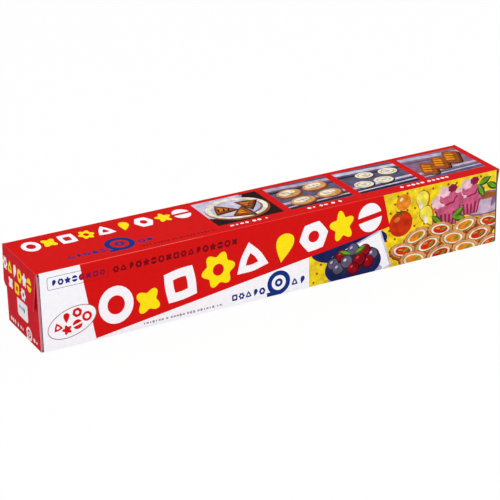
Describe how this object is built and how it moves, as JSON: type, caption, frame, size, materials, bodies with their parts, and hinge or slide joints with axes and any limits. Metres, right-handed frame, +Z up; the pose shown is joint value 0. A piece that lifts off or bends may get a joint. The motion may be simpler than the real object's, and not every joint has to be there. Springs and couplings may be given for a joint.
{
  "type": "boxed aluminium foil roll",
  "caption": "Long square carton of household foil: hinged lid with end flaps and a front flap that carries a toothed cutting strip, and inside it a foil roll wound on a paper core.",
  "frame": {"origin": "middle of the carton's footprint, on the surface it stands on", "axes": "+X along the roll towards the carton's right end, -Y towards the printed front flap, +Z up"},
  "size_m": [0.2582, 0.0414, 0.041],
  "materials": {
    "printed_board": "coated board, printed red and white, glossy outside and bare grey inside",
    "blade_steel": "bright rolled strip",
    "core_paper": "matt brown spiral-wound paper",
    "foil": "bright side out, finely lined round the roll"
  },
  "bodies": {
    "carton": {"carton_body": "printed_board", "core_tube": "core_paper", "foil_roll": "foil"},
    "lid": {"lid_top": "printed_board"},
    "front_flap": {"lid_front_flap": "printed_board", "cutter_blade": "blade_steel"},
    "left_end_flap": {"lid_end_flap_left": "printed_board"},
    "right_end_flap": {"lid_end_flap_right": "printed_board"}
  },
  "joints": [
    {"name": "lid_hinge", "type": "hinge", "parent": "carton", "child": "lid", "pos_m": [0, 0.02075, 0.041], "axis": [-1, 0, 0], "range_deg": [0, 175]},
    {"name": "front_flap_hinge", "type": "hinge", "parent": "lid", "child": "front_flap", "pos_m": [0, -0.02075, 0.041], "axis": [-1, 0, 0], "range_deg": [0, 90]},
    {"name": "left_end_flap_hinge", "type": "hinge", "parent": "lid", "child": "left_end_flap", "pos_m": [-0.1285, 0, 0.041], "axis": [0, 1, 0], "range_deg": [-1, 88]},
    {"name": "right_end_flap_hinge", "type": "hinge", "parent": "lid", "child": "right_end_flap", "pos_m": [0.1285, 0, 0.041], "axis": [0, -1, 0], "range_deg": [-1, 88]}
  ]
}
